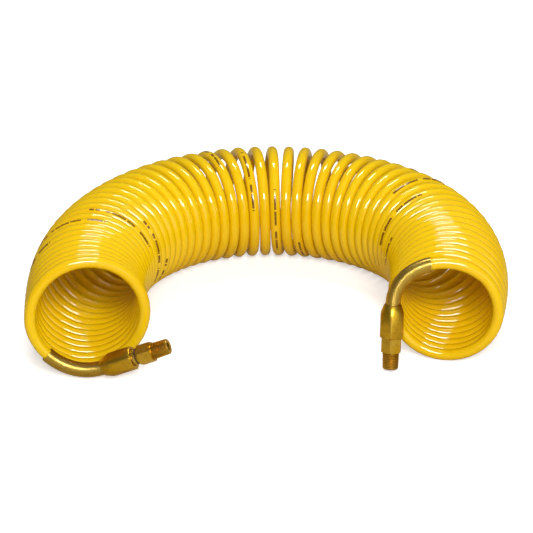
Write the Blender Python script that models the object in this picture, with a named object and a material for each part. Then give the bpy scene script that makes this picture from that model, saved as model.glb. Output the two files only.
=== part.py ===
"""Coiled air hose, 3/8 in nylon tube with a rigid and a swivelling 1/4 in male fitting.

The hose lies on z = 0, bent into an arch that opens towards -Y. Metres, +Z up.
"""

import math

import bpy
import numpy as np
from mathutils import Matrix, Vector

GAP = 0.0003

# Hose and coil
HOSE_RADIUS = 0.0047625
BORE_RADIUS = 0.003175
COIL_RADIUS = 0.04604
COIL_PITCH = 0.0100
SWIVEL_FLARE = 0.0020
RIGID_FLARE = -0.0025
FLARE_LENGTH = 0.060
COIL_SIDES = 32
COIL_RINGS = 30

# The coil's axis seen from above, from the swivel end round the arch to the rigid end
ROUTE = [
    (-0.1480, -0.1450),
    (-0.1533, -0.0617),
    (-0.1346, 0.0194),
    (-0.0842, 0.0850),
    (-0.0072, 0.1145),
    (0.0734, 0.0970),
    (0.1325, 0.0394),
    (0.1535, -0.0407),
    (0.1455, -0.1238),
]
SWIVEL_HEADING = math.radians(98.9)
RIGID_HEADING = math.radians(-99.5)

# How each hose end leaves the coil: angle of the place where it lets go, seen from that end,
# then points across, above the floor and outwards from the coil's last turn
SWIVEL_STEP = math.radians(180)
SWIVEL_TAIL = [
    (-0.0454, 0.0389, 0.0008),
    (-0.0390, 0.0267, 0.0021),
    (-0.0293, 0.0169, 0.0039),
    (-0.0172, 0.0104, 0.0063),
    (-0.0036, 0.0083, 0.0093),
]
SWIVEL_ROOT = (0.0103, 0.0114, 0.0129)
SWIVEL_AIM = (0.883, 0.388, 0.264)
RIGID_STEP = math.radians(45)
RIGID_TAIL = [
    (0.0178, 0.0884, 0.0008),
    (0.0022, 0.0919, 0.0020),
    (-0.0136, 0.0902, 0.0037),
    (-0.0280, 0.0835, 0.0059),
    (-0.0385, 0.0717, 0.0085),
]
RIGID_ROOT = (-0.0425, 0.0558, 0.0117)
RIGID_AIM = (0.005, -0.979, 0.203)

# Fittings, measured along each one from the rear of its nut
GUARD_OUTER = 0.00625
GUARD_INNER = 0.00515
GUARD_LENGTH = 0.051
GUARD_SEAT = 0.007
NUT_FLATS = 0.01905
NUT_REAR = 0.0073
NUT_CONE = 0.010
NUT_LENGTH = 0.028
NUT_BORE = 0.0069
FERRULE = (0.0130, 0.0180)
FERRULE_RADIUS = 0.0063
THREAD_SKIRT = 0.0066
SKIRT_START = 0.0185
HOSE_END = 0.025
STEM_BORE = 0.0019
BARB_TIP = 0.0120
BARB_RADIUS = 0.00285
BARB_RIDGES = (0.0145, 0.0180, 0.0215)
BODY_FLATS = 0.015875
TAPER_LARGE = 0.00695
TAPER_SMALL = 0.00655
TAPER_LENGTH = 0.0145
END_BORE = 0.0034
RIGID_LENGTH = 0.0550
RIGID_TURN = math.radians(0)

# The swivel
SWIVEL_LENGTH = 0.0600
SWIVEL_TURN = math.radians(0)
COLLAR_START = 0.0284
COLLAR_LENGTH = 0.0024
COLLAR_RADIUS = 0.0072
SLEEVE_START = 0.0320
SLEEVE_RADIUS = 0.0069
JOURNAL = 0.0041
JOURNAL_BORE = 0.00445
JOURNAL_END = 0.0450
RING_CENTRES = (0.0365, 0.0400)
RING_GROOVE = 0.0027
RING_GROOVE_WIDTH = 0.0019
RING_SECTION = 0.00055
CLIP_PLACE = 0.0430
CLIP_GROOVE = 0.0033
CLIP_GROOVE_WIDTH = 0.0012
CLIP_THICKNESS = 0.0006

# Facets
SIDES = 24
HOSE_SIDES = 12
GUARD_SIDES = 16
RING_STEPS = 8
FINE_SPACING = 0.001
TAIL_SPACING = 0.006

UP = Vector((0, 0, 1))


def clear_scene():
    for obj in list(bpy.data.objects):
        bpy.data.objects.remove(obj, do_unlink=True)


def make_frame(name, place, aim, turn):
    """An empty at the rear of a fitting, its z axis pointing at the threaded tip."""
    frame = bpy.data.objects.new(name, None)
    bpy.context.collection.objects.link(frame)
    spin = Matrix.Rotation(turn, 4, "Z")
    frame.matrix_world = Matrix.Translation(place) @ aim.to_track_quat("Z", "Y").to_matrix().to_4x4() @ spin
    return frame


def make_material(name, color, roughness, metallic):
    material = bpy.data.materials.new(name)
    material.use_nodes = True
    shader = material.node_tree.nodes["Principled BSDF"]
    shader.inputs["Base Color"].default_value = (*color, 1.0)
    shader.inputs["Roughness"].default_value = roughness
    shader.inputs["Metallic"].default_value = metallic
    return material


def add_object(name, points, faces, material, parent=None):
    mesh = bpy.data.meshes.new(name)
    mesh.from_pydata([tuple(p) for p in points], [], faces)
    mesh.materials.append(material)
    mesh.shade_smooth()
    mesh.set_sharp_from_angle(angle=math.radians(30))
    obj = bpy.data.objects.new(name, mesh)
    obj.parent = parent
    bpy.context.collection.objects.link(obj)
    return obj


def smooth_curve(points, start, end, spacing):
    """Points every spacing along the cubic spline through points, with the given end directions."""
    points = np.array(points)
    steps = np.linalg.norm(np.diff(points, axis=0), axis=1)
    count = len(points)
    rows = np.zeros((count, count))
    sides = np.zeros_like(points)
    rows[0, 0] = rows[-1, -1] = 1.0
    sides[0] = np.array(start) / np.linalg.norm(start)
    sides[-1] = np.array(end) / np.linalg.norm(end)
    for i in range(1, count - 1):
        before, after = steps[i - 1], steps[i]
        rows[i, i - 1 : i + 2] = (after, 2 * (before + after), before)
        slope_before = (points[i] - points[i - 1]) / before
        slope_after = (points[i + 1] - points[i]) / after
        sides[i] = 3 * (slope_before * after + slope_after * before)
    slopes = np.linalg.solve(rows, sides)
    fine = [points[0]]
    for i, step in enumerate(steps):
        for t in np.linspace(0, 1, 60)[1:]:
            fine.append(
                points[i] * (1 + 2 * t) * (1 - t) ** 2
                + points[i + 1] * t * t * (3 - 2 * t)
                + slopes[i] * step * t * (1 - t) ** 2
                - slopes[i + 1] * step * t * t * (1 - t)
            )
    fine = np.array(fine)
    lengths = measured(fine)
    return along(fine, np.linspace(0, lengths[-1], max(2, round(lengths[-1] / spacing) + 1)))


def measured(path):
    return np.concatenate([[0], np.cumsum(np.linalg.norm(np.diff(path, axis=0), axis=1))])


def along(path, places):
    lengths = measured(path)
    return np.stack([np.interp(places, lengths, path[:, i]) for i in range(path.shape[1])], axis=1)


def part_of(path, start, end, spacing):
    """The stretch of a path between two lengths, cut into equal steps."""
    return along(path, np.linspace(start, end, max(2, round((end - start) / spacing) + 1)))


def ring_faces(first, second, count):
    """Quads between two closed rings of points, given by their first index."""
    faces = []
    for i in range(count):
        j = (i + 1) % count
        faces.append((first + i, first + j, second + j, second + i))
    return faces


def add_tube(name, path, outer, inner, sides, material):
    """A pipe along a path, open at both ends."""
    points = []
    across = Vector((0, 0, 1))
    for i, place in enumerate(path):
        ahead = Vector(path[min(i + 1, len(path) - 1)] - path[max(i - 1, 0)]).normalized()
        across = (across - ahead * across.dot(ahead)).normalized()
        other = ahead.cross(across)
        for radius in (outer, inner):
            for k in range(sides):
                turn = 2 * math.pi * k / sides
                points.append(
                    Vector(place) + (across * math.cos(turn) + other * math.sin(turn)) * radius
                )
    faces = []
    last = 2 * sides * (len(path) - 1)
    for start in range(0, last, 2 * sides):
        faces += ring_faces(start, start + 2 * sides, sides)
        faces += ring_faces(start + 3 * sides, start + sides, sides)
    faces += ring_faces(sides, 0, sides)
    faces += ring_faces(last, last + sides, sides)
    return add_object(name, points, faces, material)


def add_turned(name, profile, frame, material, flats=None, sides=SIDES):
    """A ring turned about the frame's z axis from a closed outline of (radius, height, on_hexagon)."""
    points = []
    for radius, height, on_hexagon in profile:
        for k in range(sides):
            turn = 2 * math.pi * k / sides
            reach = radius
            if on_hexagon:
                from_flat = (turn + math.pi / 6) % (math.pi / 3) - math.pi / 6
                reach = min(radius, flats / 2 / math.cos(from_flat))
            points.append((reach * math.cos(turn), reach * math.sin(turn), height))
    faces = []
    for i in range(len(profile)):
        j = (i + 1) % len(profile)
        faces += ring_faces(i * sides, j * sides, sides)
    return add_object(name, points, faces, material, frame)


def plain(*pairs):
    return [(radius, height, False) for radius, height in pairs]


def hexagon(*pairs):
    return [(radius, height, True) for radius, height in pairs]


def axis_at(route, place):
    """Floor point under the coil's axis, heading, level direction to the left, and turn radius."""
    length = measured(route)[-1]
    step = 0.002
    behind, here, ahead = along(route, [max(place - step, 0), place, min(place + step, length)])
    heading = Vector((*(ahead - behind), 0)).normalized()
    near_swivel = max(0.0, 1 - place / FLARE_LENGTH)
    near_rigid = max(0.0, 1 - (length - place) / FLARE_LENGTH)
    radius = COIL_RADIUS + SWIVEL_FLARE * near_swivel**2 + RIGID_FLARE * near_rigid**2
    return Vector((*here, 0)), heading, UP.cross(heading), radius


def coil_point(route, place, turn, offset):
    """A point of the coil's wall, which rests on the floor at every turn."""
    floor, _, left, radius = axis_at(route, place)
    reach = radius + offset
    height = radius + HOSE_RADIUS + reach * math.sin(turn)
    return floor + left * (reach * math.cos(turn)) + UP * height


def add_coil(name, route, material):
    """The coiled hose as one thick pipe whose ends step up by a turn, as a spring's do."""
    length = measured(route)[-1]
    walls = (HOSE_RADIUS, -HOSE_RADIUS)
    turns = [2 * math.pi * k / COIL_SIDES for k in range(COIL_SIDES)]
    points = []
    rings = []
    for place in np.linspace(COIL_PITCH, length - COIL_PITCH, COIL_RINGS):
        for wall in walls:
            rings.append(len(points))
            points += [coil_point(route, place, turn, wall) for turn in turns]
    faces = []
    for i in range(0, len(rings) - 2, 2):
        faces += ring_faces(rings[i], rings[i + 2], COIL_SIDES)
        faces += ring_faces(rings[i + 3], rings[i + 1], COIL_SIDES)
    rigid_seam = round(RIGID_STEP / (2 * math.pi) * COIL_SIDES)
    ends = ((0, 0.0, COIL_SIDES, rings[:2]), (rigid_seam, length - COIL_PITCH, 0, rings[-2:]))
    for seam, start, shared, body in ends:
        ramps = []
        for wall, first in zip(walls, body):
            ramp = []
            for k in range(COIL_SIDES + 1):
                if k == shared:
                    ramp.append(first + seam)
                    continue
                place = start + COIL_PITCH * k / COIL_SIDES
                ramp.append(len(points))
                points.append(coil_point(route, place, turns[(seam + k) % COIL_SIDES], wall))
            ramps.append(ramp)
        faces += end_faces(*ramps, *body, seam, shared)
    return add_object(name, points, faces, material)


def end_faces(outer, inner, outer_ring, inner_ring, seam, shared):
    """The strips of wall from a ramp to the nearest full ring, the ramp's own face, and the step."""
    quads = []
    for k in range(COIL_SIDES):
        here = (seam + k) % COIL_SIDES
        there = (here + 1) % COIL_SIDES
        quads.append((outer[k], outer[k + 1], outer_ring + there, outer_ring + here))
        quads.append((inner_ring + here, inner_ring + there, inner[k + 1], inner[k]))
        quads.append((inner[k], inner[k + 1], outer[k + 1], outer[k]))
    if shared == 0:
        quads = [quad[::-1] for quad in quads]
    step = COIL_SIDES - shared
    quads.append((outer[step], outer_ring + seam, inner_ring + seam, inner[step]))
    return [tuple(dict.fromkeys(quad)) for quad in quads]


def make_tail(route, place, side, step, points, root, aim):
    """A hose end's path from the coil to the rear of its nut, and the nut's place and direction."""
    floor, heading, _, radius = axis_at(route, place)
    outward = heading * side
    across = UP.cross(outward)
    axes = Matrix((across, UP, outward)).transposed()
    start = Vector((radius * math.cos(step), radius + HOSE_RADIUS + radius * math.sin(step), 0))
    slope = COIL_PITCH / (2 * math.pi * radius)
    leaving = axes @ Vector((-math.sin(step), math.cos(step), slope))
    places = [floor + axes @ Vector(point) for point in (start, *points, root)]
    direction = (axes @ Vector(aim)).normalized()
    free = smooth_curve(places, leaving, direction, FINE_SPACING)
    return free, places[-1], direction


def add_hose_end(end, tail, nut_turn, hose_material, guard_material):
    """One end's hose and spring guard. Returns the frame of its fitting."""
    free, root, direction = tail
    length = measured(free)[-1]
    inside = [np.array(root + direction * reach) for reach in (HOSE_END / 2, HOSE_END)]
    path = np.vstack([free, inside])
    hose = part_of(path, 2 * GAP, length + HOSE_END, TAIL_SPACING)
    add_tube(f"hose_tail_{end}", hose, HOSE_RADIUS, BORE_RADIUS, HOSE_SIDES, hose_material)
    guard = part_of(path, length - GUARD_LENGTH, length + GUARD_SEAT, TAIL_SPACING)
    add_tube(f"spring_guard_{end}", guard, GUARD_OUTER, GUARD_INNER, GUARD_SIDES, guard_material)
    return make_frame(f"fitting_{end}", root, direction, nut_turn)


def add_nut(end, frame, material):
    """Hexagon nut with a tapered rear, bored for the guard, the hose, the ferrule and its thread."""
    corner = NUT_FLATS / math.sqrt(3)
    seat_start = 0.0122
    seat_end = 0.0145
    flat_start = NUT_CONE * (NUT_FLATS / 2 - NUT_REAR) / (corner - NUT_REAR)
    outside = plain((NUT_REAR, 0), (NUT_FLATS / 2, flat_start)) + hexagon(
        ((NUT_FLATS / 2 + corner) / 2, (flat_start + NUT_CONE) / 2),
        (corner, NUT_CONE),
        (corner, NUT_LENGTH - 0.0013),
        (corner - 0.0011, NUT_LENGTH),
    )
    inside = plain(
        (NUT_BORE, NUT_LENGTH),
        (NUT_BORE, seat_end),
        (GUARD_INNER, seat_start),
        (GUARD_INNER, GUARD_SEAT + 2 * GAP),
        (GUARD_OUTER + GAP, GUARD_SEAT + 2 * GAP),
        (GUARD_OUTER + GAP, 0),
    )
    add_turned(f"compression_nut_{end}", outside + inside, frame, material, NUT_FLATS)


def add_ferrule(end, frame, material):
    rear, front = FERRULE
    taper = 0.0016
    outline = plain(
        (FERRULE_RADIUS - 0.0009, rear),
        (FERRULE_RADIUS, rear + taper),
        (FERRULE_RADIUS, front),
        (GUARD_INNER, front),
        (GUARD_INNER, rear),
    )
    add_turned(f"ferrule_{end}", outline, frame, material)


def barb_outline():
    """The inside of a fitting's rear, from the bore's end over the barb to the nut thread's skirt."""
    outline = [(STEM_BORE, BARB_TIP), (BARB_RADIUS - 0.0005, BARB_TIP)]
    for ridge in BARB_RIDGES:
        outline += [(BARB_RADIUS, ridge), (BARB_RADIUS - 0.0004, ridge + 0.0004)]
    outline += [
        (BARB_RADIUS - 0.0004, HOSE_END + GAP),
        (GUARD_INNER, HOSE_END + GAP),
        (GUARD_INNER, SKIRT_START),
    ]
    return plain(*outline)


def male_outline(hex_start, tip, bore, bore_start):
    """Hexagon, neck and taper thread, then back down the bore as far as bore_start."""
    corner = BODY_FLATS / math.sqrt(3)
    hex_end = tip - TAPER_LENGTH
    return (
        hexagon(
            (corner - 0.0006, hex_start),
            (corner, hex_start + 0.0007),
            (corner, hex_end - 0.0007),
            (corner - 0.0006, hex_end),
        )
        + plain(
            (TAPER_SMALL - 0.0002, hex_end),
            (TAPER_SMALL - 0.0002, hex_end + 0.0008),
            (TAPER_LARGE, hex_end + 0.0013),
            (TAPER_SMALL, tip - 0.0007),
            (TAPER_SMALL - 0.0005, tip),
            (END_BORE, tip),
            (END_BORE, bore_start + abs(END_BORE - bore)),
            (bore, bore_start),
        )
    )


def add_rigid_body(frame, material):
    """Barb, nut thread, hexagon and taper thread in one turned piece."""
    hex_start = NUT_LENGTH + 0.0004
    outline = plain((THREAD_SKIRT, SKIRT_START), (THREAD_SKIRT, hex_start))
    outline += male_outline(hex_start, RIGID_LENGTH, STEM_BORE, NUT_LENGTH + 0.010)
    outline += barb_outline()
    add_turned("rigid_body", outline, frame, material, BODY_FLATS)


def add_swivel_stem(frame, material):
    """Barb, nut thread and collar, then the journal with grooves for two rings and a clip."""
    collar_end = COLLAR_START + COLLAR_LENGTH
    outline = [
        (THREAD_SKIRT, SKIRT_START),
        (THREAD_SKIRT, COLLAR_START),
        (COLLAR_RADIUS, COLLAR_START),
        (COLLAR_RADIUS, collar_end - 0.0004),
        (COLLAR_RADIUS - 0.0004, collar_end),
        (JOURNAL, collar_end),
    ]
    for centre in RING_CENTRES:
        low, high = centre - RING_GROOVE_WIDTH / 2, centre + RING_GROOVE_WIDTH / 2
        outline += [(JOURNAL, low), (RING_GROOVE, low), (RING_GROOVE, high), (JOURNAL, high)]
    low, high = CLIP_PLACE - CLIP_GROOVE_WIDTH / 2, CLIP_PLACE + CLIP_GROOVE_WIDTH / 2
    outline += [(JOURNAL, low), (CLIP_GROOVE, low), (CLIP_GROOVE, high), (JOURNAL, high)]
    outline += [(JOURNAL, JOURNAL_END - 0.0004), (JOURNAL - 0.0004, JOURNAL_END)]
    outline += [(STEM_BORE, JOURNAL_END)]
    add_turned("swivel_stem", plain(*outline) + barb_outline(), frame, material)


def add_swivel_body(frame, material):
    """The part that turns: a sleeve over the journal with the hexagon and the taper thread."""
    low, high = CLIP_PLACE - CLIP_GROOVE_WIDTH / 2, CLIP_PLACE + CLIP_GROOVE_WIDTH / 2
    outline = plain((SLEEVE_RADIUS, SLEEVE_START), (SLEEVE_RADIUS, SLEEVE_START + 0.0020))
    outline += male_outline(
        SLEEVE_START + 0.0020, SWIVEL_LENGTH, JOURNAL_BORE, JOURNAL_END + 2 * GAP
    )
    outline += plain(
        (JOURNAL_BORE, high),
        (JOURNAL_BORE + 0.0007, high),
        (JOURNAL_BORE + 0.0007, low),
        (JOURNAL_BORE, low),
        (JOURNAL_BORE, SLEEVE_START),
    )
    add_turned("swivel_body", outline, frame, material, BODY_FLATS)


def add_seals(frame, rubber, plastic):
    """The two rubber rings in their grooves and the plastic washer the body turns against."""
    centre_radius = RING_GROOVE + 2 * GAP + RING_SECTION
    for number, centre in enumerate(RING_CENTRES, 1):
        outline = []
        for k in range(RING_STEPS):
            turn = 2 * math.pi * k / RING_STEPS
            outline.append(
                (
                    centre_radius + RING_SECTION * math.cos(turn),
                    centre + RING_SECTION * math.sin(turn),
                )
            )
        add_turned(f"o_ring_{number}", plain(*outline), frame, rubber)
    washer_start = COLLAR_START + COLLAR_LENGTH + GAP
    washer_end = SLEEVE_START - GAP
    washer = plain(
        (THREAD_SKIRT, washer_start),
        (THREAD_SKIRT, washer_end),
        (JOURNAL_BORE, washer_end),
        (JOURNAL_BORE, washer_start),
    )
    add_turned("thrust_washer", washer, frame, plastic)


def add_clip(frame, material):
    """An open ring in the grooves of journal and body, which keeps the body on."""
    opening = math.radians(36)
    steps = 22
    inner, outer = CLIP_GROOVE + GAP, JOURNAL_BORE + 0.0003
    half = CLIP_THICKNESS / 2
    corners = ((inner, -half), (outer, -half), (outer, half), (inner, half))
    points = []
    for k in range(steps + 1):
        turn = opening / 2 + (2 * math.pi - opening) * k / steps
        for radius, height in corners:
            points.append((radius * math.cos(turn), radius * math.sin(turn), CLIP_PLACE + height))
    faces = []
    for k in range(steps):
        faces += [face[::-1] for face in ring_faces(4 * k, 4 * k + 4, 4)]
    faces.append((0, 1, 2, 3))
    faces.append(tuple(4 * steps + k for k in (3, 2, 1, 0)))
    add_object("retaining_clip", points, faces, material, frame)


def main():
    clear_scene()
    hose = make_material("yellow_nylon", (0.83, 0.51, 0.01), 0.25, 0.0)
    brass = make_material("brass", (0.42, 0.27, 0.06), 0.35, 1.0)
    plated = make_material("plated_spring", (0.36, 0.23, 0.05), 0.3, 1.0)
    steel = make_material("spring_steel", (0.35, 0.35, 0.36), 0.35, 1.0)
    rubber = make_material("black_rubber", (0.02, 0.02, 0.02), 0.6, 0.0)
    plastic = make_material("dark_plastic", (0.07, 0.05, 0.03), 0.4, 0.0)
    headings = [(math.cos(turn), math.sin(turn)) for turn in (SWIVEL_HEADING, RIGID_HEADING)]
    route = smooth_curve(ROUTE, *headings, FINE_SPACING)
    add_coil("hose_coil", route, hose)
    middle = COIL_PITCH / 2
    far = measured(route)[-1] - middle
    swivel = make_tail(route, middle, -1, SWIVEL_STEP, SWIVEL_TAIL, SWIVEL_ROOT, SWIVEL_AIM)
    rigid = make_tail(route, far, 1, RIGID_STEP, RIGID_TAIL, RIGID_ROOT, RIGID_AIM)
    frames = {}
    for end, tail, turn in (("swivel", swivel, SWIVEL_TURN), ("rigid", rigid, RIGID_TURN)):
        frames[end] = add_hose_end(end, tail, turn, hose, plated)
        add_nut(end, frames[end], brass)
        add_ferrule(end, frames[end], brass)
    add_rigid_body(frames["rigid"], brass)
    add_swivel_stem(frames["swivel"], brass)
    add_swivel_body(frames["swivel"], brass)
    add_seals(frames["swivel"], rubber, plastic)
    add_clip(frames["swivel"], steel)
    bpy.context.view_layer.update()


main()
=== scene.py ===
import math
import bpy
import numpy as np
from mathutils import Matrix, Vector


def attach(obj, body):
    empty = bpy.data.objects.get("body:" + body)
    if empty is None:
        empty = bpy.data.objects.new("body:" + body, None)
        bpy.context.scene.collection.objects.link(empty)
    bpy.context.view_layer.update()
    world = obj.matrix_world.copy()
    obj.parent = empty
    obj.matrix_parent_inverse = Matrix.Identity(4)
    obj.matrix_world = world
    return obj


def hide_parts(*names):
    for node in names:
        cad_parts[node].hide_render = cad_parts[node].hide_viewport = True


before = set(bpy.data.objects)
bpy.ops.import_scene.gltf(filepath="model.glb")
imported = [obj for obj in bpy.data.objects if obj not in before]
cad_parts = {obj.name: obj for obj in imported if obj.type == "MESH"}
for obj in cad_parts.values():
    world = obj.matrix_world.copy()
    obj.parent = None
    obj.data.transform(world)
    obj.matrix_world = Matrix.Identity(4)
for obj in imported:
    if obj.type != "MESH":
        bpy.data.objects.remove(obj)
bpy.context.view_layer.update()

up = Vector((0, 0, 1))

# the camera stands in front of the open ends and looks a little down
cameraSettings = {
    "place": (-0.0021, -1.7365, 0.8081),
    "tilt": 66.0,  # degrees from straight down
    "lens": 145.2,
    "sensor": 36,
    "nearest": 0.05,
}


def addCamera(settings):
    data = bpy.data.cameras.new("hoseCamera")
    data.lens = settings["lens"]
    data.sensor_width = settings["sensor"]
    data.clip_start = settings["nearest"]
    camera = bpy.data.objects.new("hoseCamera", data)
    camera.location = settings["place"]
    camera.rotation_euler = (math.radians(settings["tilt"]), 0, 0)
    bpy.context.collection.objects.link(camera)
    bpy.context.scene.camera = camera


addCamera(cameraSettings)
print("camera set")

# the hose is one tube, wound on a line bent into an arch, in metres
hose = {
    "radius": 0.0047625,
    "bore": 0.003175,
    "coilRadius": 0.04604,
    "endPitch": 0.0100,
    "swivelFlare": 0.0020,
    "rigidFlare": -0.0025,
    "flareLength": 0.060,
    "turns": 52,
    "ringsPerTurn": 40,
    "sides": 16,
    "insideNut": 0.025,
    "tailSpacing": 0.005,  # between the rings of the free ends
}
coilRoute = {
    "points": [
        (-0.1480, -0.1450),
        (-0.1533, -0.0617),
        (-0.1346, 0.0194),
        (-0.0842, 0.0850),
        (-0.0072, 0.1145),
        (0.0734, 0.0970),
        (0.1325, 0.0394),
        (0.1535, -0.0407),
        (0.1455, -0.1238),
    ],
    "startHeading": 98.9,
    "endHeading": -99.5,
    "spacing": 0.001,
    "stepsPerSpan": 60,
    "headingReach": 0.002,  # each way, to read the line's direction
    "smoothing": 15,  # points each way, to even out the bend
}
# where each end lets go of the coil, then across, above the floor and outwards from the last turn
swivelTail = {
    "side": -1,
    "step": 180,
    "points": [
        (-0.0454, 0.0389, 0.0008),
        (-0.0390, 0.0267, 0.0021),
        (-0.0293, 0.0169, 0.0039),
        (-0.0172, 0.0104, 0.0063),
        (-0.0036, 0.0083, 0.0093),
    ],
    "root": (0.0103, 0.0114, 0.0129),
    "aim": (0.883, 0.388, 0.264),
}
rigidTail = {
    "side": 1,
    "step": 45,
    "points": [
        (0.0178, 0.0884, 0.0008),
        (0.0022, 0.0919, 0.0020),
        (-0.0136, 0.0902, 0.0037),
        (-0.0280, 0.0835, 0.0059),
        (-0.0385, 0.0717, 0.0085),
    ],
    "root": (-0.0425, 0.0558, 0.0117),
    "aim": (0.005, -0.979, 0.203),
}


def measured(path):
    return np.concatenate([[0], np.cumsum(np.linalg.norm(np.diff(path, axis=0), axis=1))])


def along(path, places):
    lengths = measured(path)
    return np.stack([np.interp(places, lengths, path[:, i]) for i in range(path.shape[1])], axis=1)


def smoothCurve(points, start, end):
    # clamped cubic spline, resampled evenly
    points = np.array(points)
    steps = np.linalg.norm(np.diff(points, axis=0), axis=1)
    count = len(points)
    rows = np.zeros((count, count))
    sides = np.zeros_like(points)
    rows[0, 0] = rows[-1, -1] = 1.0
    sides[0] = np.array(start) / np.linalg.norm(start)
    sides[-1] = np.array(end) / np.linalg.norm(end)
    for i in range(1, count - 1):
        before, after = steps[i - 1], steps[i]
        rows[i, i - 1 : i + 2] = (after, 2 * (before + after), before)
        slopeBefore = (points[i] - points[i - 1]) / before
        slopeAfter = (points[i + 1] - points[i]) / after
        sides[i] = 3 * (slopeBefore * after + slopeAfter * before)
    slopes = np.linalg.solve(rows, sides)
    fine = [points[0]]
    for i, step in enumerate(steps):
        for t in np.linspace(0, 1, coilRoute["stepsPerSpan"])[1:]:
            fine.append(
                points[i] * (1 + 2 * t) * (1 - t) ** 2
                + points[i + 1] * t * t * (3 - 2 * t)
                + slopes[i] * step * t * (1 - t) ** 2
                - slopes[i + 1] * step * t * t * (1 - t)
            )
    fine = np.array(fine)
    total = measured(fine)[-1]
    return along(fine, np.linspace(0, total, round(total / coilRoute["spacing"]) + 1))


def headingVector(degrees):
    return (math.cos(math.radians(degrees)), math.sin(math.radians(degrees)))


route = smoothCurve(
    coilRoute["points"],
    headingVector(coilRoute["startHeading"]),
    headingVector(coilRoute["endHeading"]),
)
routeLength = measured(route)[-1]


def axisAt(place):
    reach = coilRoute["headingReach"]
    behind, here, ahead = along(
        route, [max(place - reach, 0), place, min(place + reach, routeLength)]
    )
    heading = Vector((*(ahead - behind), 0)).normalized()
    nearSwivel = max(0.0, 1 - place / hose["flareLength"])
    nearRigid = max(0.0, 1 - (routeLength - place) / hose["flareLength"])
    radius = (
        hose["coilRadius"]
        + hose["swivelFlare"] * nearSwivel**2
        + hose["rigidFlare"] * nearRigid**2
    )
    return Vector((*here, 0)), heading, up.cross(heading), radius


def turnsAlong():
    # the turns touch on the inside of the arch, so they are fewer where it bends more
    places = np.linspace(0, routeLength, len(route))
    steps = np.gradient(route, places, axis=0)
    angles = np.unwrap(np.arctan2(steps[:, 1], steps[:, 0]))
    bend = -np.gradient(angles, places)
    reach = coilRoute["smoothing"]
    window = np.ones(2 * reach + 1) / (2 * reach + 1)
    bend = np.convolve(np.pad(bend, reach, mode="edge"), window, mode="valid")
    density = 1 - bend * hose["coilRadius"]
    first, last = hose["endPitch"] / 2, routeLength - hose["endPitch"] / 2
    inside = (places >= first) & (places <= last)
    places, density = places[inside], density[inside]
    turns = np.concatenate(
        [[0], np.cumsum((density[1:] + density[:-1]) / 2 * np.diff(places))]
    )
    total = hose["turns"] + rigidTail["step"] / 360
    return places, turns * total / turns[-1], total


def coilPath():
    places, turns, total = turnsAlong()
    points = []
    outwards = []
    for turn in np.linspace(0, total, round(total * hose["ringsPerTurn"]) + 1):
        place = np.interp(turn, turns, places)
        floor, _, left, radius = axisAt(place)
        angle = 2 * math.pi * turn
        outward = left * math.cos(angle) + up * math.sin(angle)
        points.append(floor + up * (radius + hose["radius"]) + outward * radius)
        outwards.append(outward)
    return points, outwards


def tailPath(tail, place):
    floor, heading, _, radius = axisAt(place)
    outward = heading * tail["side"]
    across = up.cross(outward)
    axes = Matrix((across, up, outward)).transposed()
    step = math.radians(tail["step"])
    start = Vector(
        (radius * math.cos(step), radius + hose["radius"] + radius * math.sin(step), 0)
    )
    slope = hose["endPitch"] / (2 * math.pi * radius)
    leaving = axes @ Vector((-math.sin(step), math.cos(step), slope))
    places = [floor + axes @ Vector(point) for point in (start, *tail["points"], tail["root"])]
    direction = (axes @ Vector(tail["aim"])).normalized()
    return smoothCurve(places, leaving, direction), places[-1], direction


def fittingMatrix(root, direction):
    return Matrix.Translation(root) @ direction.to_track_quat("Z", "Y").to_matrix().to_4x4()


swivelFree, swivelRoot, swivelAim = tailPath(swivelTail, hose["endPitch"] / 2)
rigidFree, rigidRoot, rigidAim = tailPath(rigidTail, routeLength - hose["endPitch"] / 2)


def hosePath():
    coil, outwards = coilPath()
    spacing = hose["tailSpacing"]
    swivelEnd = np.array(swivelRoot + swivelAim * hose["insideNut"])
    rigidEnd = np.array(rigidRoot + rigidAim * hose["insideNut"])
    swivelLine = np.vstack([swivelFree, swivelEnd])[::-1]
    rigidLine = np.vstack([rigidFree, rigidEnd])
    near = measured(swivelLine)[-1]
    far = measured(rigidLine)[-1]
    before = along(swivelLine, np.linspace(0, near, round(near / spacing) + 1))[:-1]
    after = along(rigidLine, np.linspace(0, far, round(far / spacing) + 1))[1:]
    points = [Vector(p) for p in before] + coil + [Vector(p) for p in after]
    return points, outwards, len(before)


def ringDirections(points, outwards, first):
    aheads = []
    for i in range(len(points)):
        ahead = points[min(i + 1, len(points) - 1)] - points[max(i - 1, 0)]
        aheads.append(ahead.normalized())
    across = [None] * len(points)
    for i, outward in enumerate(outwards):
        k = first + i
        across[k] = (outward - aheads[k] * outward.dot(aheads[k])).normalized()
    for k in range(first - 1, -1, -1):
        carried = across[k + 1]
        across[k] = (carried - aheads[k] * carried.dot(aheads[k])).normalized()
    for k in range(first + len(outwards), len(points)):
        carried = across[k - 1]
        across[k] = (carried - aheads[k] * carried.dot(aheads[k])).normalized()
    return aheads, across


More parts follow.
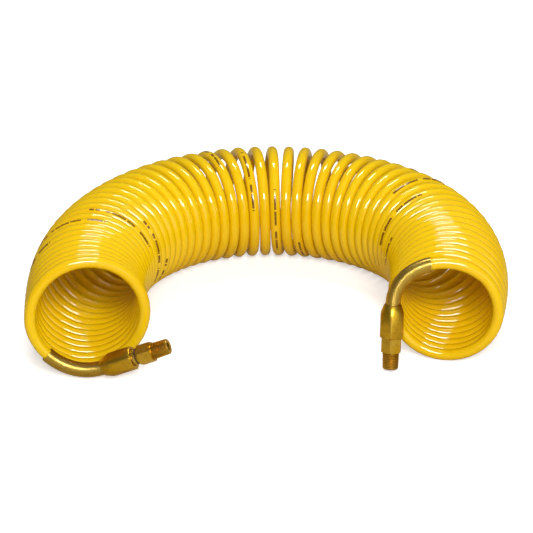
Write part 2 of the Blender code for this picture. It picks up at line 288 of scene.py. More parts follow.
def addHose():
    points, outwards, first = hosePath()
    aheads, across = ringDirections(points, outwards, first)
    sides = hose["sides"]
    lengths = measured(np.array(points))
    corners = []
    for radius in (hose["radius"], hose["bore"]):
        for place, ahead, out in zip(points, aheads, across):
            other = ahead.cross(out)
            for k in range(sides):
                angle = 2 * math.pi * k / sides
                corners.append(
                    place + (out * math.cos(angle) + other * math.sin(angle)) * radius
                )
    faces = []
    uvs = []
    count = len(points)
    inner = count * sides
    for i in range(count - 1):
        for k in range(sides):
            j = (k + 1) % sides
            a, b = i * sides + k, i * sides + j
            faces.append((a, b, b + sides, a + sides))
            faces.append((inner + a + sides, inner + b + sides, inner + b, inner + a))
            left, right = k / sides, (k + 1) / sides
            low, high = lengths[i], lengths[i + 1]
            uvs += [(left, low), (right, low), (right, high), (left, high)]
            uvs += [(left, high), (right, high), (right, low), (left, low)]
    last = (count - 1) * sides
    for k in range(sides):
        j = (k + 1) % sides
        faces.append((inner + k, inner + j, j, k))
        faces.append((last + k, last + j, inner + last + j, inner + last + k))
        uvs += [(k / sides, 0)] * 4
        uvs += [(k / sides, lengths[-1])] * 4
    mesh = bpy.data.meshes.new("coiledHose")
    mesh.from_pydata([tuple(c) for c in corners], [], faces)
    layer = mesh.uv_layers.new(name="hoseLength")
    layer.data.foreach_set("uv", np.array(uvs, dtype=np.float32).ravel())
    mesh.shade_smooth()
    obj = bpy.data.objects.new("coiledHose", mesh)
    bpy.context.collection.objects.link(obj)
    print("hose", round(lengths[-1], 3), "m,", len(faces) * 2, "triangles")
    return obj, points, lengths[-1]


coiledHose, hosePoints, hoseLength = addHose()


def newMaterial(name):
    material = bpy.data.materials.new(name)
    material.use_nodes = True
    tree = material.node_tree
    return material, tree, tree.nodes["Principled BSDF"]


def addNode(tree, kind, inputs=None, **settings):
    # inputs maps a socket's name or number to a value or to another node's output
    node = tree.nodes.new(kind)
    for name, value in settings.items():
        setattr(node, name, value)
    for name, value in (inputs or {}).items():
        if isinstance(value, bpy.types.NodeSocket):
            tree.links.new(value, node.inputs[name])
        else:
            node.inputs[name].default_value = value
    return node


def calculate(tree, operation, first, second=0.0, third=0.0):
    node = addNode(tree, "ShaderNodeMath", {0: first, 1: second, 2: third}, operation=operation)
    return node.outputs[0]


def spread(tree, value, low, high, toLow=0.0, toHigh=1.0):
    inputs = {"Value": value, 1: low, 2: high, 3: toLow, 4: toHigh}
    return addNode(tree, "ShaderNodeMapRange", inputs, interpolation_type="SMOOTHSTEP").outputs[0]


def mixColors(tree, amount, first, second):
    # the mix node's color sockets are its inputs 6 and 7 and its output 2
    node = addNode(tree, "ShaderNodeMix", data_type="RGBA")
    for number, value in ((0, amount), (6, first), (7, second)):
        socket = node.inputs[number]
        if isinstance(value, bpy.types.NodeSocket):
            tree.links.new(value, socket)
        else:
            socket.default_value = value
    return node.outputs[2]


def noise(tree, vector, scale, detail=3.0, distortion=0.0):
    inputs = {"Vector": vector, "Scale": scale, "Detail": detail, "Distortion": distortion}
    return addNode(tree, "ShaderNodeTexNoise", inputs).outputs[0]


def addBump(tree, shader, height, strength, depth):
    inputs = {"Height": height, "Strength": strength, "Distance": depth}
    tree.links.new(addNode(tree, "ShaderNodeBump", inputs).outputs[0], shader.inputs["Normal"])


def newGroup(name, inputs, outputs):
    group = bpy.data.node_groups.new(name, "ShaderNodeTree")
    for socketName, kind, value in inputs:
        socket = group.interface.new_socket(socketName, in_out="INPUT", socket_type=kind)
        if value is not None:
            socket.default_value = value
    for socketName, kind in outputs:
        group.interface.new_socket(socketName, in_out="OUTPUT", socket_type=kind)
    return group, group.nodes.new("NodeGroupInput"), group.nodes.new("NodeGroupOutput")


handling = {
    "distortion": 1.5,
    "fineness": 14.0,  # how many times finer the dust is than the smears
    "smearLevels": (0.42, 0.72),
    "speckLevels": (0.66, 0.78),
}


def makeHandlingGroup():
    # smears left by handling, and the fine dust that settles in them
    inputs = [("Size", "NodeSocketFloat", 60.0), ("Amount", "NodeSocketFloat", 0.5)]
    outputs = [("Smear", "NodeSocketFloat"), ("Speck", "NodeSocketFloat")]
    group, start, end = newGroup("handlingMarks", inputs, outputs)
    place = addNode(group, "ShaderNodeTexCoord").outputs["Object"]
    broad = noise(group, place, start.outputs["Size"], 4.0, handling["distortion"])
    fineSize = calculate(group, "MULTIPLY", start.outputs["Size"], handling["fineness"])
    fine = noise(group, place, fineSize, 2.0)
    smear = spread(group, broad, *handling["smearLevels"])
    speck = spread(group, fine, *handling["speckLevels"])
    for name, value in (("Smear", smear), ("Speck", speck)):
        amount = calculate(group, "MULTIPLY", value, start.outputs["Amount"])
        group.links.new(amount, end.inputs[name])
    return group


rubbing = {"grain": 900.0, "levels": (0.3, 0.6), "least": 0.35}


def makeRubbedAndHighlitEdgeGroup():
    # rubbed edges, brighter and smoother than the faces between them; the brighter colour is
    # partly rubbed wear and partly a painted highlight along the edges
    inputs = [("Start", "NodeSocketFloat", 0.52), ("End", "NodeSocketFloat", 0.62)]
    group, start, end = newGroup("rubbedEdgesAndHighlight", inputs, [("Mask", "NodeSocketFloat")])
    pointed = addNode(group, "ShaderNodeNewGeometry").outputs["Pointiness"]
    place = addNode(group, "ShaderNodeTexCoord").outputs["Object"]
    grain = noise(group, place, rubbing["grain"])
    broken = spread(group, grain, *rubbing["levels"], rubbing["least"], 1.0)
    edge = spread(group, pointed, start.outputs["Start"], start.outputs["End"])
    group.links.new(calculate(group, "MULTIPLY", edge, broken), end.inputs["Mask"])
    return group


handlingMarks = makeHandlingGroup()
rubbedEdgesAndHighlight = makeRubbedAndHighlitEdgeGroup()


def useGroup(tree, group, **values):
    node = addNode(tree, "ShaderNodeGroup", node_tree=group)
    for name, value in values.items():
        node.inputs[name].default_value = value
    return node


nylon = {
    "color": (0.88, 0.58, 0.002, 1),
    "deepColor": (0.86, 0.49, 0.001, 1),
    "ink": (0.20, 0.075, 0.0, 1),
    "roughness": 0.07,
    "specular": 0.62,
    "scatter": 0.20,
    "scatterRadius": (1.0, 0.9, 0.2),
    "scatterScale": 0.002,
    "cloudSize": 9.0,
    "cloudLevels": (0.35, 0.7),
    "cloudAmount": 0.45,
    "smearSize": 45.0,
    "smearAmount": 0.5,
    "smearRoughness": 0.07,
    "dust": (0.6, 0.5, 0.25, 1),
    "dustAmount": 0.12,
    "rippleSize": 260.0,
    "rippleStrength": 0.04,
    "rippleDepth": 0.0003,
    # groups of printed strokes, in metres along the hose
    "legendPeriod": 0.6210,
    "legendLength": 0.060,
    "legendStart": 0.0187,
    "legendsEnd": 14.0,
    "shortStroke": (0.0135, 0.0122),  # how often, and how long
    "longStroke": (0.0310, 0.0262),
    "inkRoughness": 0.08,
    "inkWearSize": 700.0,
    "inkWearLevels": (0.3, 0.5),
    "inkLeast": 0.55,
    "strokeWidth": 0.034,  # of the way round the hose
    # the printed line turns slowly round the hose, between these distances from its start
    "strokeAngles": (0.08, -0.09),
    "angleTurns": (5.0, 10.5),
    "strokeDrift": 0.03,
    "driftRate": 1.9,
}


def repeated(tree, value, period, length):
    # 1 over the first length of each period, 0 over the rest
    return calculate(tree, "LESS_THAN", calculate(tree, "MODULO", value, period), length)


def printedStrokes(tree, settings):
    # plain strokes of unequal length along the hose, repeated at a fixed distance
    uv = addNode(tree, "ShaderNodeUVMap", uv_map="hoseLength").outputs[0]
    parts = addNode(tree, "ShaderNodeSeparateXYZ", {0: uv})
    around, length = parts.outputs[0], parts.outputs[1]
    shifted = calculate(tree, "ADD", length, settings["legendStart"])
    inLegend = repeated(tree, shifted, settings["legendPeriod"], settings["legendLength"])
    unworn = calculate(tree, "LESS_THAN", length, settings["legendsEnd"])
    short = repeated(tree, length, *settings["shortStroke"])
    long = repeated(tree, length, *settings["longStroke"])
    drift = calculate(tree, "SINE", calculate(tree, "MULTIPLY", length, settings["driftRate"]))
    wander = calculate(tree, "MULTIPLY", drift, settings["strokeDrift"])
    turning = spread(tree, length, *settings["angleTurns"], *settings["strokeAngles"])
    centre = calculate(tree, "ADD", wander, turning)
    apart = calculate(tree, "SUBTRACT", around, centre)
    across = calculate(tree, "ABSOLUTE", calculate(tree, "WRAP", apart, 0.5, -0.5))
    line = calculate(tree, "LESS_THAN", across, settings["strokeWidth"])
    strokes = calculate(tree, "MULTIPLY", inLegend, unworn)
    for mask in (line, short, long):
        strokes = calculate(tree, "MULTIPLY", strokes, mask)
    return strokes


def makeNylon(settings):
    material, tree, shader = newMaterial("yellowNylon")
    place = addNode(tree, "ShaderNodeTexCoord").outputs["Object"]
    clouds = noise(tree, place, settings["cloudSize"])
    cloud = spread(tree, clouds, *settings["cloudLevels"], 0.0, settings["cloudAmount"])
    body = mixColors(tree, cloud, settings["color"], settings["deepColor"])
    marks = useGroup(
        tree, handlingMarks, Size=settings["smearSize"], Amount=settings["smearAmount"]
    )
    dust = calculate(tree, "MULTIPLY", marks.outputs["Speck"], settings["dustAmount"])
    dusty = mixColors(tree, dust, body, settings["dust"])
    strokes = printedStrokes(tree, settings)
    wear = noise(tree, place, settings["inkWearSize"])
    worn = spread(tree, wear, *settings["inkWearLevels"], settings["inkLeast"], 1.0)
    ink = calculate(tree, "MULTIPLY", strokes, worn)
    tree.links.new(mixColors(tree, ink, dusty, settings["ink"]), shader.inputs["Base Color"])
    smear = marks.outputs["Smear"]
    rough = calculate(
        tree, "MULTIPLY_ADD", smear, settings["smearRoughness"], settings["roughness"]
    )
    rough = calculate(tree, "MULTIPLY_ADD", strokes, settings["inkRoughness"], rough)
    tree.links.new(rough, shader.inputs["Roughness"])
    # faint ripple from the extruder
    ripple = noise(tree, place, settings["rippleSize"], 2.0)
    addBump(tree, shader, ripple, settings["rippleStrength"], settings["rippleDepth"])
    shader.inputs["Specular IOR Level"].default_value = settings["specular"]
    shader.inputs["Subsurface Weight"].default_value = settings["scatter"]
    shader.inputs["Subsurface Radius"].default_value = settings["scatterRadius"]
    shader.inputs["Subsurface Scale"].default_value = settings["scatterScale"]
    return material


# each metal's edge colour, laid on its convex edges, is partly rubbed wear and partly a painted
# highlight
metals = {
    "machinedBrass": {
        "color": (0.66, 0.40, 0.010, 1),
        "stain": (0.38, 0.20, 0.006, 1),
        "edge": (0.72, 0.52, 0.14, 1),
        "roughness": 0.34,
        "marks": 2400.0,
        "depth": 0.00004,
    },
    "platedSpring": {
        "color": (0.60, 0.37, 0.020, 1),
        "stain": (0.36, 0.20, 0.008, 1),
        "edge": (0.74, 0.56, 0.17, 1),
        "roughness": 0.34,
        "marks": 3000.0,
        "depth": 0.00001,
    },
    "springSteel": {
        "color": (0.36, 0.36, 0.37, 1),
        "stain": (0.16, 0.15, 0.14, 1),
        "edge": (0.60, 0.60, 0.60, 1),
        "roughness": 0.30,
        "marks": 2000.0,
        "depth": 0.00002,
    },
}


metalWear = {
    "smearSize": 170.0,
    "stainAmount": 0.75,
    "streakLevels": (0.35, 0.75),
    "streakAmount": 0.35,
    "edgeStart": 0.505,
    "edgeEnd": 0.60,
    "smearRoughness": 0.16,
    "rubbedRoughness": -0.10,
    "markStrength": 0.35,
}


def makeMetal(name, kind, root, aim):
    # turned marks run round the fitting's own axis, so they change only along it
    settings = metals[kind]
    material, tree, shader = newMaterial(name)
    place = addNode(tree, "ShaderNodeTexCoord").outputs["Object"]
    fromRoot = addNode(
        tree, "ShaderNodeVectorMath", {0: place, 1: tuple(root)}, operation="SUBTRACT"
    ).outputs[0]
    reach = addNode(
        tree, "ShaderNodeVectorMath", {0: fromRoot, 1: tuple(aim)}, operation="DOT_PRODUCT"
    ).outputs["Value"]
    turned = addNode(
        tree,
        "ShaderNodeTexNoise",
        {"W": reach, "Scale": settings["marks"], "Detail": 2.0},
        noise_dimensions="1D",
    ).outputs[0]
    marks = useGroup(tree, handlingMarks, Size=metalWear["smearSize"], Amount=1.0)
    edges = useGroup(
        tree, rubbedEdgesAndHighlight, Start=metalWear["edgeStart"], End=metalWear["edgeEnd"]
    )
    smear, edge = marks.outputs["Smear"], edges.outputs["Mask"]
    stain = calculate(tree, "MULTIPLY", smear, metalWear["stainAmount"])
    dulled = mixColors(tree, stain, settings["color"], settings["stain"])
    streak = spread(tree, turned, *metalWear["streakLevels"], 0.0, metalWear["streakAmount"])
    streaked = mixColors(tree, streak, dulled, settings["stain"])
    # convex edges take the paler edge colour: partly rubbed wear, partly a painted highlight
    rubbedAndHighlit = mixColors(tree, edge, streaked, settings["edge"])
    tree.links.new(rubbedAndHighlit, shader.inputs["Base Color"])
    rough = calculate(
        tree, "MULTIPLY_ADD", smear, metalWear["smearRoughness"], settings["roughness"]
    )
    rough = calculate(tree, "MULTIPLY_ADD", edge, metalWear["rubbedRoughness"], rough)
    tree.links.new(rough, shader.inputs["Roughness"])
    addBump(tree, shader, turned, metalWear["markStrength"], settings["depth"])
    shader.inputs["Metallic"].default_value = 1.0
    return material


moulded = {
    "blackRubber": {
        "color": (0.02, 0.02, 0.02, 1),
        "pale": (0.11, 0.11, 0.11, 1),
        "roughness": 0.55,
        "grain": 2500.0,
    },
    "darkAcetal": {
        "color": (0.07, 0.05, 0.03, 1),
        "pale": (0.135, 0.125, 0.115, 1),
        "roughness": 0.4,
        "grain": 1500.0,
    },
}
mouldedWear = {
    "smearSize": 300.0,
    "smearAmount": 0.6,
    "paleAmount": 0.3,
    "smearRoughness": 0.15,
    "grainStrength": 0.3,
    "grainDepth": 0.00005,
}


def makeMoulded(name):
    settings, wear = moulded[name], mouldedWear
    material, tree, shader = newMaterial(name)
    place = addNode(tree, "ShaderNodeTexCoord").outputs["Object"]
    marks = useGroup(tree, handlingMarks, Size=wear["smearSize"], Amount=wear["smearAmount"])
    smear = marks.outputs["Smear"]
    amount = calculate(tree, "MULTIPLY", smear, wear["paleAmount"])
    color = mixColors(tree, amount, settings["color"], settings["pale"])
    tree.links.new(color, shader.inputs["Base Color"])
    rough = calculate(
        tree, "MULTIPLY_ADD", smear, wear["smearRoughness"], settings["roughness"]
    )
    tree.links.new(rough, shader.inputs["Roughness"])
    grain = noise(tree, place, settings["grain"])
    addBump(tree, shader, grain, wear["grainStrength"], wear["grainDepth"])
    return material


coiledHose.data.materials.append(makeNylon(nylon))
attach(coiledHose, "hose")
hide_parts("hose_coil", "hose_tail_swivel", "hose_tail_rigid")
metalsFor = {}
for end, root, aim in (("swivel", swivelRoot, swivelAim), ("rigid", rigidRoot, rigidAim)):
    metalsFor[end] = {
        "brass": makeMetal("machinedBrass_" + end, "machinedBrass", root, aim),
        "spring": makeMetal("platedSpring_" + end, "platedSpring", root, aim),
    }
innerFinishes = {
    "swivel_stem": metalsFor["swivel"]["brass"],
    "ferrule_swivel": metalsFor["swivel"]["brass"],
    "ferrule_rigid": metalsFor["rigid"]["brass"],
    "retaining_clip": makeMetal("springSteel", "springSteel", swivelRoot, swivelAim),
    "o_ring_1": makeMoulded("blackRubber"),
    "thrust_washer": makeMoulded("darkAcetal"),
}
innerFinishes["o_ring_2"] = innerFinishes["o_ring_1"]
for node, material in innerFinishes.items():
    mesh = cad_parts[node].data
    mesh.materials.clear()
    mesh.materials.append(material)
print("materials made")


def deselectAll():
    if bpy.context.object and bpy.context.object.mode != "OBJECT":
        bpy.ops.object.mode_set(mode="OBJECT")
    bpy.ops.object.select_all(action="DESELECT")


def makeActive(obj):
    deselectAll()
    obj.select_set(True)
    bpy.context.view_layer.objects.active = obj


def applyModifier(obj, modifier):
    makeActive(obj)
    bpy.ops.object.modifier_apply(modifier=modifier.name)


def combine(obj, other, operation):
    modifier = obj.modifiers.new("combine", "BOOLEAN")
    modifier.operation = operation
    modifier.solver = "EXACT"
    modifier.object = other
    applyModifier(obj, modifier)
    bpy.data.objects.remove(other, do_unlink=True)


# the fittings are drawn in millimetres
making = {
    "roundSides": 72,
    "taperSides": 96,
    "spare": 0.2,  # how far a cutting shape runs past what it cuts
    "barSpare": 1.0,
    "merge": 0.002,
    "smoothAngle": 32,
}


def turnOnLathe(name, outline, vertices=making["roundSides"]):
    # a disc drawn up step by step through (radius, height) pairs, closed at both ends
    deselectAll()
    radius, height = outline[0]
    bpy.ops.mesh.primitive_circle_add(
        vertices=vertices, radius=radius, fill_type="NGON", location=(0, 0, height)
    )
    obj = bpy.context.object
    obj.name = name
    bpy.ops.object.transform_apply(location=True, rotation=False, scale=False)
    bpy.ops.object.mode_set(mode="EDIT")
    bpy.ops.mesh.select_all(action="SELECT")
    for nextRadius, nextHeight in outline[1:]:
        bpy.ops.mesh.extrude_region_move(
            TRANSFORM_OT_translate={"value": (0, 0, nextHeight - height)}
        )
        ratio = nextRadius / radius
        bpy.ops.transform.resize(value=(ratio, ratio, 1), center_override=(0, 0, nextHeight))
        radius, height = nextRadius, nextHeight
    bpy.ops.mesh.select_all(action="SELECT")
    bpy.ops.mesh.normals_make_consistent(inside=False)
    bpy.ops.object.mode_set(mode="OBJECT")
    return obj


def cutHexagon(name, flats, outline, edge, edgeSteps):
    # hexagon bar with softened edges, then its ends turned to the outline
    deselectAll()
    low, high = outline[0][1], outline[-1][1]
    bpy.ops.mesh.primitive_cylinder_add(
        vertices=6,
        radius=flats / math.sqrt(3),
        depth=high - low + 2 * making["barSpare"],
        location=(0, 0, (low + high) / 2),
    )
    bar = bpy.context.object
    bar.name = name
    bpy.ops.object.transform_apply(location=True, rotation=False, scale=False)
    bevel = bar.modifiers.new("edges", "BEVEL")
    bevel.width = edge
    bevel.segments = edgeSteps
    bevel.limit_method = "ANGLE"
    applyModifier(bar, bevel)
    combine(bar, turnOnLathe("turned", outline), "INTERSECT")
    return bar


def cutThread(name, settings, low, high):
    # one tooth drawn as a line, screwed up past both ends, cut square, then trimmed to its taper
    deselectAll()
    pitch, root = settings["pitch"], settings["root"]
    crest = settings["largeEnd"] + making["spare"]
    flat = settings["flat"] * pitch
    bpy.ops.mesh.primitive_plane_add(size=1.0, location=(0, 0, 0))
    obj = bpy.context.object
    obj.name = name
    bpy.ops.object.mode_set(mode="EDIT")
    bpy.ops.mesh.select_all(action="SELECT")
    bpy.ops.mesh.merge(type="CENTER")
    bpy.ops.transform.translate(value=(root, 0, low - 2 * pitch))
    rise = pitch / 2 - flat
    for step in ((crest - root, 0, rise), (0, 0, flat), (root - crest, 0, rise), (0, 0, flat)):
        bpy.ops.mesh.extrude_region_move(TRANSFORM_OT_translate={"value": step})
    bpy.ops.object.mode_set(mode="OBJECT")
    screw = obj.modifiers.new("screw", "SCREW")
    screw.steps = screw.render_steps = settings["stepsPerTurn"]
    screw.angle = 2 * math.pi
    screw.screw_offset = pitch
    screw.iterations = round((high - low) / pitch) + settings["spareTurns"]
    applyModifier(obj, screw)
    bpy.ops.object.mode_set(mode="EDIT")
    bpy.ops.mesh.select_all(action="SELECT")
    bpy.ops.mesh.remove_doubles(threshold=settings["merge"])
    for height, side in ((low, -1), (high, 1)):
        bpy.ops.mesh.select_all(action="SELECT")
        bpy.ops.mesh.bisect(
            plane_co=(0, 0, height),
            plane_no=(0, 0, side),
            use_fill=True,
            clear_outer=True,
            threshold=settings["cutMerge"],
        )
    bpy.ops.mesh.select_all(action="SELECT")
    bpy.ops.mesh.normals_make_consistent(inside=False)
    bpy.ops.object.mode_set(mode="OBJECT")
    outline = [
        (root, low - settings["runOut"]),
        (settings["largeEnd"], low + settings["leadIn"]),
        (settings["smallEnd"], high - settings["leadIn"]),
        (root - making["spare"], high + settings["runOut"]),
    ]
    combine(obj, turnOnLathe("taper", outline, making["taperSides"]), "INTERSECT")
    return obj


def finishPiece(obj, matrix, material, body, node, angle=making["smoothAngle"]):
    makeActive(obj)
    bpy.ops.object.mode_set(mode="EDIT")
    bpy.ops.mesh.select_all(action="SELECT")
    bpy.ops.mesh.remove_doubles(threshold=making["merge"])
    bpy.ops.mesh.dissolve_degenerate(threshold=making["merge"])
    bpy.ops.mesh.normals_make_consistent(inside=False)
    bpy.ops.object.mode_set(mode="OBJECT")
    obj.matrix_world = matrix
    bpy.ops.object.transform_apply(location=True, rotation=True, scale=True)
    bpy.ops.object.shade_smooth_by_angle(angle=math.radians(angle))
    obj.data.materials.clear()
    obj.data.materials.append(material)
    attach(obj, body)
    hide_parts(node)
    print(obj.name, len(obj.data.polygons), "faces")


# each fitting is drawn along z from the rear of its nut, then put in its place
millimetres = Matrix.Scale(0.001, 4)
swivelPlace = fittingMatrix(swivelRoot, swivelAim) @ millimetres
rigidPlace = fittingMatrix(rigidRoot, rigidAim) @ millimetres

nut = {
    "flats": 19.05,
    "length": 28.0,
    "rearRadius": 7.3,
    "rearChamfer": 0.4,
    "coneEnd": 10.0,
    "coneBlend": 0.8,
    "frontChamfer": 1.3,
    "edge": 1.7,
    "edgeSteps": 2,
    "guardBore": 6.55,
    "guardDepth": 7.6,
    "hoseBore": 5.15,
    "hoseBoreEnd": 12.2,
    "threadBore": 6.9,
    "threadStart": 14.5,
    "boreChamfer": 0.4,
}


def addNut(name, end, place):
    corner = nut["flats"] / math.sqrt(3)
    spare, chamfer = making["spare"], nut["boreChamfer"]
    outline = [
        (nut["rearRadius"] - nut["rearChamfer"], 0),
        (nut["rearRadius"], nut["rearChamfer"]),
        (corner - spare, nut["coneEnd"]),
        (corner + spare, nut["coneEnd"] + nut["coneBlend"]),
        (corner + spare, nut["length"] - nut["frontChamfer"]),
        (corner - nut["frontChamfer"], nut["length"]),
    ]
    obj = cutHexagon(name, nut["flats"], outline, nut["edge"], nut["edgeSteps"])
    bore = [
        (nut["guardBore"] + chamfer, -spare),
        (nut["guardBore"], chamfer),
        (nut["guardBore"], nut["guardDepth"]),
        (nut["hoseBore"], nut["guardDepth"]),
        (nut["hoseBore"], nut["hoseBoreEnd"]),
        (nut["threadBore"], nut["threadStart"]),
        (nut["threadBore"], nut["length"] - chamfer),
        (nut["threadBore"] + chamfer + spare, nut["length"] + spare),
    ]
    combine(obj, turnOnLathe("bore", bore), "DIFFERENCE")
    metal = metalsFor[end]["brass"]
    finishPiece(obj, place, metal, "hose", f"compression_nut_{end}")
    return obj


pipeThread = {
    "pitch": 1.411,
    "root": 5.8,
    "largeEnd": 6.95,
    "smallEnd": 6.55,
    "flat": 0.12,  # of the pitch, at crest and root
    "length": 14.5,
    "leadIn": 0.8,
    "runOut": 0.4,
    "bore": 3.4,
    "boreChamfer": 0.5,
    "neckRadius": 6.2,
    "neckStart": 1.0,  # inside the hexagon
    "neckEnd": 1.1,
    "threadStart": 0.7,
    "stepsPerTurn": 40,
    "spareTurns": 4,
    "merge": 0.01,
    "cutMerge": 0.001,
}
bodyHexagon = {"flats": 15.875, "edge": 0.3, "edgeSteps": 3, "chamfer": 0.7}
rigidFitting = {
    "length": 55.0,
    "hexStart": 28.4,
    "boreStart": 11.0,
    "barbStart": 12.0,
    "tipRadius": 2.4,
    "stemBore": 1.9,
    "stemRadius": 2.45,
    "ridgeRadius": 2.85,
    "ridges": (14.5, 18.0, 21.5),
    "ridgeBack": 0.4,
    "skirtStart": 25.3,
    "skirtRadius": 6.6,
    "skirtOverlap": 1.0,
    "boreWidens": (38.0, 39.5),
}
swivelFitting = {
    "length": 60.0,
    "sleeveStart": 32.0,
    "sleeveRadius": 6.9,
    "sleeveChamfer": 0.3,
    "sleeveLength": 3.0,
    "hexStart": 34.0,
    "boreStart": 31.0,
    "journalBore": 4.45,
    "ringGroove": 5.15,
    "grooveStart": 42.4,
    "grooveEnd": 43.6,
    "boreNarrows": (45.6, 46.7),
}


def addHexagonAndThread(name, hexStart, tip):
    hexEnd = tip - pipeThread["length"]
    hexagon, neckRadius = bodyHexagon, pipeThread["neckRadius"]
    corner = hexagon["flats"] / math.sqrt(3)
    chamfer = hexagon["chamfer"]
    outline = [
        (corner - chamfer, hexStart),
        (corner + making["spare"], hexStart + chamfer),
        (corner + making["spare"], hexEnd - chamfer),
        (corner - chamfer, hexEnd),
    ]
    obj = cutHexagon(name, hexagon["flats"], outline, hexagon["edge"], hexagon["edgeSteps"])
    neck = [
        (neckRadius, hexEnd - pipeThread["neckStart"]),
        (neckRadius, hexEnd + pipeThread["neckEnd"]),
    ]
    combine(obj, turnOnLathe("neck", neck), "UNION")
    thread = cutThread("thread", pipeThread, hexEnd + pipeThread["threadStart"], tip)
    combine(obj, thread, "UNION")
    return obj


def threadBore(tip):
    # the last two steps of a bore, opening at the thread's end
    radius, chamfer, spare = pipeThread["bore"], pipeThread["boreChamfer"], making["spare"]
    return [(radius, tip - chamfer), (radius + chamfer + spare, tip + spare)]


def addRigidBody(fitting):
    tip = fitting["length"]
    obj = addHexagonAndThread("rigidBody", fitting["hexStart"], tip)
    stem, skirt = fitting["stemRadius"], fitting["skirtRadius"]
    narrow, wide = fitting["boreWidens"]
    barb = [
        (fitting["stemBore"], fitting["barbStart"]),
        (fitting["tipRadius"], fitting["barbStart"]),
    ]
    for ridge in fitting["ridges"]:
        barb += [(fitting["ridgeRadius"], ridge), (stem, ridge + fitting["ridgeBack"])]
    barb += [
        (stem, fitting["skirtStart"]),
        (skirt, fitting["skirtStart"]),
        (skirt, fitting["hexStart"] + fitting["skirtOverlap"]),
    ]
    combine(obj, turnOnLathe("barb", barb), "UNION")
    bore = [
        (fitting["stemBore"], fitting["boreStart"]),
        (fitting["stemBore"], narrow),
        (pipeThread["bore"], wide),
    ]
    combine(obj, turnOnLathe("bore", bore + threadBore(tip)), "DIFFERENCE")
    finishPiece(obj, rigidPlace, metalsFor["rigid"]["brass"], "hose", "rigid_body")
    return obj


def addSwivelBody(fitting):
    tip, start = fitting["length"], fitting["sleeveStart"]
    obj = addHexagonAndThread("swivelBody", fitting["hexStart"], tip)
    outer, chamfer = fitting["sleeveRadius"], fitting["sleeveChamfer"]
    sleeve = [
        (outer - chamfer, start),
        (outer, start + chamfer),
        (outer, start + fitting["sleeveLength"]),
    ]
    combine(obj, turnOnLathe("sleeve", sleeve), "UNION")
    journal, groove = fitting["journalBore"], fitting["ringGroove"]
    wide, narrow = fitting["boreNarrows"]
    bore = [
        (journal, fitting["boreStart"]),
        (journal, fitting["grooveStart"]),
        (groove, fitting["grooveStart"]),
        (groove, fitting["grooveEnd"]),
        (journal, fitting["grooveEnd"]),
        (journal, wide),
        (pipeThread["bore"], narrow),
    ]
    combine(obj, turnOnLathe("bore", bore + threadBore(tip)), "DIFFERENCE")
    metal = metalsFor["swivel"]["brass"]
    finishPiece(obj, swivelPlace, metal, "swivel", "swivel_body")
    return obj


guard = {
    "wireAcross": 0.42,
    "wireAlong": 0.54,
    "coilRadius": 5.78,
    "pitch": 1.12,
    "length": 51.0,
    "seat": 6.8,
    "wireEdge": 0.16,
    "edgeSteps": 2,
    "stepsPerTurn": 22,
    "linePoints": 60,
    "smoothAngle": 40,
}


def addGuard(name, end, free, root, direction):
    # a flat wire wound straight, then bent along the hose's free end
    line = np.vstack([free, np.array(root + direction * nut["length"] / 1000)]) * 1000
    rear = measured(free)[-1] * 1000 - guard["length"]
    total = guard["length"] + guard["seat"]
    centre = along(line, np.linspace(rear, rear + total, guard["linePoints"]))
    data = bpy.data.curves.new("guardLine", "CURVE")
    data.dimensions = "3D"
    data.twist_mode = "MINIMUM"
    spline = data.splines.new("POLY")
    spline.points.add(len(centre) - 1)
    for point, place in zip(spline.points, centre):
        point.co = (*place, 1)
    guardLine = bpy.data.objects.new("guardLine", data)
    bpy.context.collection.objects.link(guardLine)

    deselectAll()
    bpy.ops.mesh.primitive_circle_add(vertices=4, radius=math.sqrt(2))
    wire = bpy.context.object
    wire.name = name
    bpy.ops.object.mode_set(mode="EDIT")
    bpy.ops.mesh.select_all(action="SELECT")
    bpy.ops.transform.rotate(value=math.pi / 4, orient_axis="Z", center_override=(0, 0, 0))
    bpy.ops.transform.resize(value=(guard["wireAcross"], guard["wireAlong"], 1))
    bpy.ops.mesh.bevel(
        offset=guard["wireEdge"], segments=guard["edgeSteps"], affect="VERTICES"
    )
    bpy.ops.transform.rotate(value=math.pi / 2, orient_axis="X", center_override=(0, 0, 0))
    bpy.ops.transform.translate(value=(guard["coilRadius"], 0, guard["wireAlong"]))
    bpy.ops.object.mode_set(mode="OBJECT")
    screw = wire.modifiers.new("wind", "SCREW")
    screw.angle = 2 * math.pi
    screw.steps = screw.render_steps = guard["stepsPerTurn"]
    screw.screw_offset = guard["pitch"]
    screw.iterations = int((total - 2 * guard["wireAlong"]) / guard["pitch"])
    applyModifier(wire, screw)
    bpy.ops.object.mode_set(mode="EDIT")
    bpy.ops.mesh.select_all(action="SELECT")
    bpy.ops.mesh.fill_holes(sides=4 * (guard["edgeSteps"] + 1))
    bpy.ops.object.mode_set(mode="OBJECT")
    bend = wire.modifiers.new("bend", "CURVE")
    bend.object = guardLine
    bend.deform_axis = "POS_Z"
    applyModifier(wire, bend)
    bpy.data.objects.remove(guardLine, do_unlink=True)
    metal, node = metalsFor[end]["spring"], f"spring_guard_{end}"
    finishPiece(wire, millimetres, metal, "hose", node, guard["smoothAngle"])
    return wire


addGuard("springGuardSwivel", "swivel", swivelFree, swivelRoot, swivelAim)
springGuardRigid = addGuard("springGuardRigid", "rigid", rigidFree, rigidRoot, rigidAim)
addNut("compressionNutSwivel", "swivel", swivelPlace)
compressionNutRigid = addNut("compressionNutRigid", "rigid", rigidPlace)
rigidBody = addRigidBody(rigidFitting)
addSwivelBody(swivelFitting)
print("fittings built")

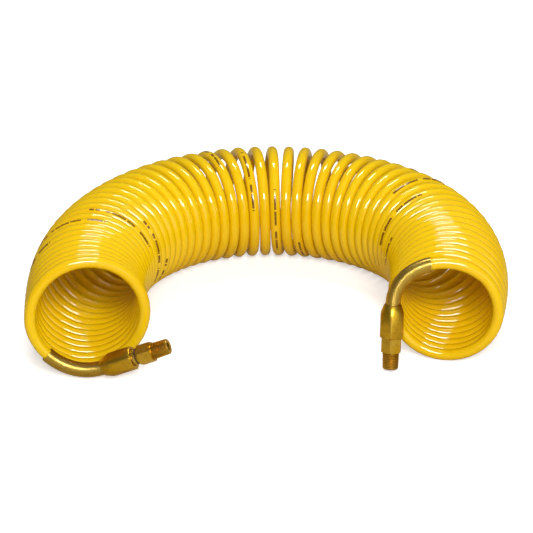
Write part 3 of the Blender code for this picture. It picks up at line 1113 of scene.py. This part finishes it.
studio = {
    "aimAt": (0.0, 0.03, 0.05),
    "lights": {
        # elevation and azimuth in degrees, distance and size in metres, power in watts
        "frontStrip": (33, 6, 2.2, (0.95, 0.44), 33),
        "topStrip": (106, 0, 1.8, (0.85, 0.30), 16),
        "bigSoft": (55, 30, 2.4, (2.2, 1.8), 3),
        "lowSoft": (12, 30, 2.4, (2.2, 1.3), 9),
    },
    "world": 0.13,
    "floorSize": 8.0,
    "floorDrop": 0.0002,  # below the hose, so that the two never share a plane
    "floorColor": (0.88, 0.88, 0.88, 1),
    "floorRoughness": 0.9,
    "floorGlow": 0.55,
    "bounceColor": (0.60, 0.52, 0.30, 1),
}


def addLight(name, elevation, azimuth, distance, size, power):
    data = bpy.data.lights.new(name, "AREA")
    data.shape = "RECTANGLE"
    data.size, data.size_y = size
    data.energy = power
    light = bpy.data.objects.new(name, data)
    elevation, azimuth = math.radians(elevation), math.radians(azimuth)
    away = Vector(
        (
            math.cos(elevation) * math.sin(azimuth),
            -math.cos(elevation) * math.cos(azimuth),
            math.sin(elevation),
        )
    )
    light.location = Vector(studio["aimAt"]) + away * distance
    light.rotation_euler = away.to_track_quat("Z", "Y").to_euler()
    bpy.context.collection.objects.link(light)


def makeFloor():
    # white to the camera, dimmer and warmer where the hose mirrors it
    material, tree, shader = newMaterial("paleFloor")
    shader.inputs["Base Color"].default_value = studio["floorColor"]
    shader.inputs["Roughness"].default_value = studio["floorRoughness"]
    shader.inputs["Emission Color"].default_value = (1, 1, 1, 1)
    shader.inputs["Emission Strength"].default_value = studio["floorGlow"]
    dim = addNode(tree, "ShaderNodeBsdfDiffuse", {"Color": studio["bounceColor"]})
    seen = addNode(tree, "ShaderNodeLightPath").outputs["Is Camera Ray"]
    both = addNode(tree, "ShaderNodeMixShader", {0: seen, 1: dim.outputs[0], 2: shader.outputs[0]})
    tree.links.new(both.outputs[0], tree.nodes["Material Output"].inputs["Surface"])
    return material


def addStudio():
    bpy.context.scene.view_settings.view_transform = "Standard"
    for name, settings in studio["lights"].items():
        addLight(name, *settings)
    world = bpy.data.worlds.new("studioWorld")
    world.use_nodes = True
    background = world.node_tree.nodes["Background"]
    background.inputs["Color"].default_value = (1, 1, 1, 1)
    background.inputs["Strength"].default_value = studio["world"]
    bpy.context.scene.world = world
    deselectAll()
    under = (0, 0, -studio["floorDrop"])
    bpy.ops.mesh.primitive_plane_add(size=studio["floorSize"], location=under)
    floor = bpy.context.object
    floor.name = "studioFloor"
    floor.data.materials.append(makeFloor())


addStudio()
print("studio ready")
